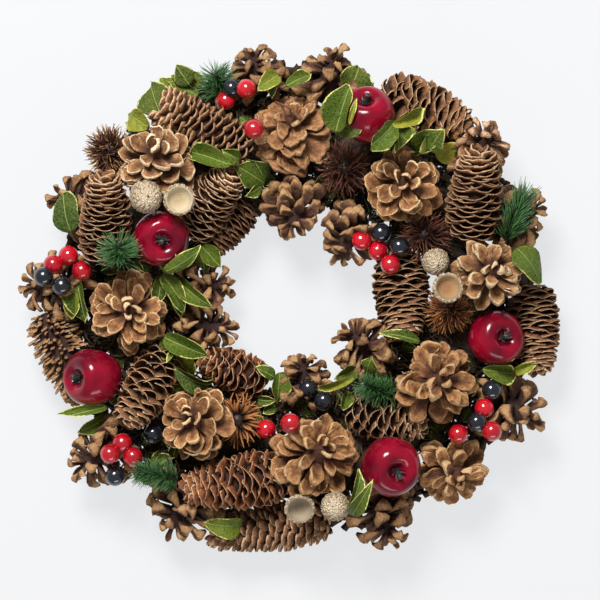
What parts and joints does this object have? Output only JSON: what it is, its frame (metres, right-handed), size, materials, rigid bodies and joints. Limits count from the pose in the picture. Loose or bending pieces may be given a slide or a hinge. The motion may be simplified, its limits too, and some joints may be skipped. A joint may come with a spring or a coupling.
{
  "type": "pinecone wreath",
  "caption": "Round wreath of pine and spruce cones, seed heads, lacquered apples, acorn cups, berries and boxwood leaves on a flat-backed vine ring.",
  "frame": {"origin": "middle of the wreath's bounding box, on the flat back it lies on", "axes": "+Z out of the decorated face, +Y the top of the wreath as it hangs, +X its right"},
  "size_m": [0.3634, 0.3388, 0.0946],
  "materials": {
    "vine": "rough",
    "pine_scale": "dry",
    "spruce_scale": "dry",
    "bristle": "dry",
    "red_lacquer": "gloss",
    "acorn_cup": "matt",
    "leaf_green": "satin",
    "berry_red": "gloss"
  },
  "bodies": {
    "root": {"acorn_cups_1": "acorn_cup", "acorn_cups_2": "acorn_cup", "acorn_cups_3": "acorn_cup", "apple_1": "red_lacquer", "apple_2": "red_lacquer", "apple_3": "red_lacquer", "apple_4": "red_lacquer", "apple_5": "red_lacquer", "berries_inner_right": "berry_red", "front_pine_cone_1": "pine_scale", "front_pine_cone_2": "pine_scale", "front_pine_cone_3": "pine_scale", "front_pine_cone_4": "pine_scale", "front_pine_cone_5": "pine_scale", "front_pine_cone_6": "pine_scale", "front_pine_cone_7": "pine_scale", "front_pine_cone_8": "pine_scale", "front_pine_cone_9": "pine_scale", "greenery_bottom": "leaf_green", "greenery_left": "leaf_green", "greenery_lower_left": "leaf_green", "greenery_lower_right": "leaf_green", "greenery_right": "leaf_green", "greenery_top_left": "leaf_green", "greenery_top_right": "leaf_green", "inner_pine_cone_1": "pine_scale", "inner_pine_cone_2": "pine_scale", "inner_pine_cone_3": "pine_scale", "inner_pine_cone_4": "pine_scale", "inner_pine_cones_5": "pine_scale", "leaves_inner_left": "leaf_green", "leaves_inner_top": "leaf_green", "outer_pine_cone_1": "pine_scale", "outer_pine_cone_2": "pine_scale", "outer_pine_cone_3": "pine_scale", "outer_pine_cone_4": "pine_scale", "outer_pine_cone_5": "pine_scale", "outer_pine_cone_6": "pine_scale", "outer_pine_cone_7": "pine_scale", "outer_pine_cone_8": "pine_scale", "outer_pine_cone_9": "pine_scale", "seed_head_1": "bristle", "seed_head_2": "bristle", "seed_head_3": "bristle", "seed_head_4": "bristle", "seed_head_5": "bristle", "spruce_and_pine_cone_2": "spruce_scale", "spruce_cone_1": "spruce_scale", "spruce_cone_10": "spruce_scale", "spruce_cone_11": "spruce_scale", "spruce_cone_13": "spruce_scale", "spruce_cone_3": "spruce_scale", "spruce_cone_4": "spruce_scale", "spruce_cone_5": "spruce_scale", "spruce_cone_6": "spruce_scale", "spruce_cone_7": "spruce_scale", "spruce_cone_8": "spruce_scale", "spruce_cone_9": "spruce_scale", "spruce_cones_12": "spruce_scale", "vine_ring": "vine"}
  },
  "joints": []
}
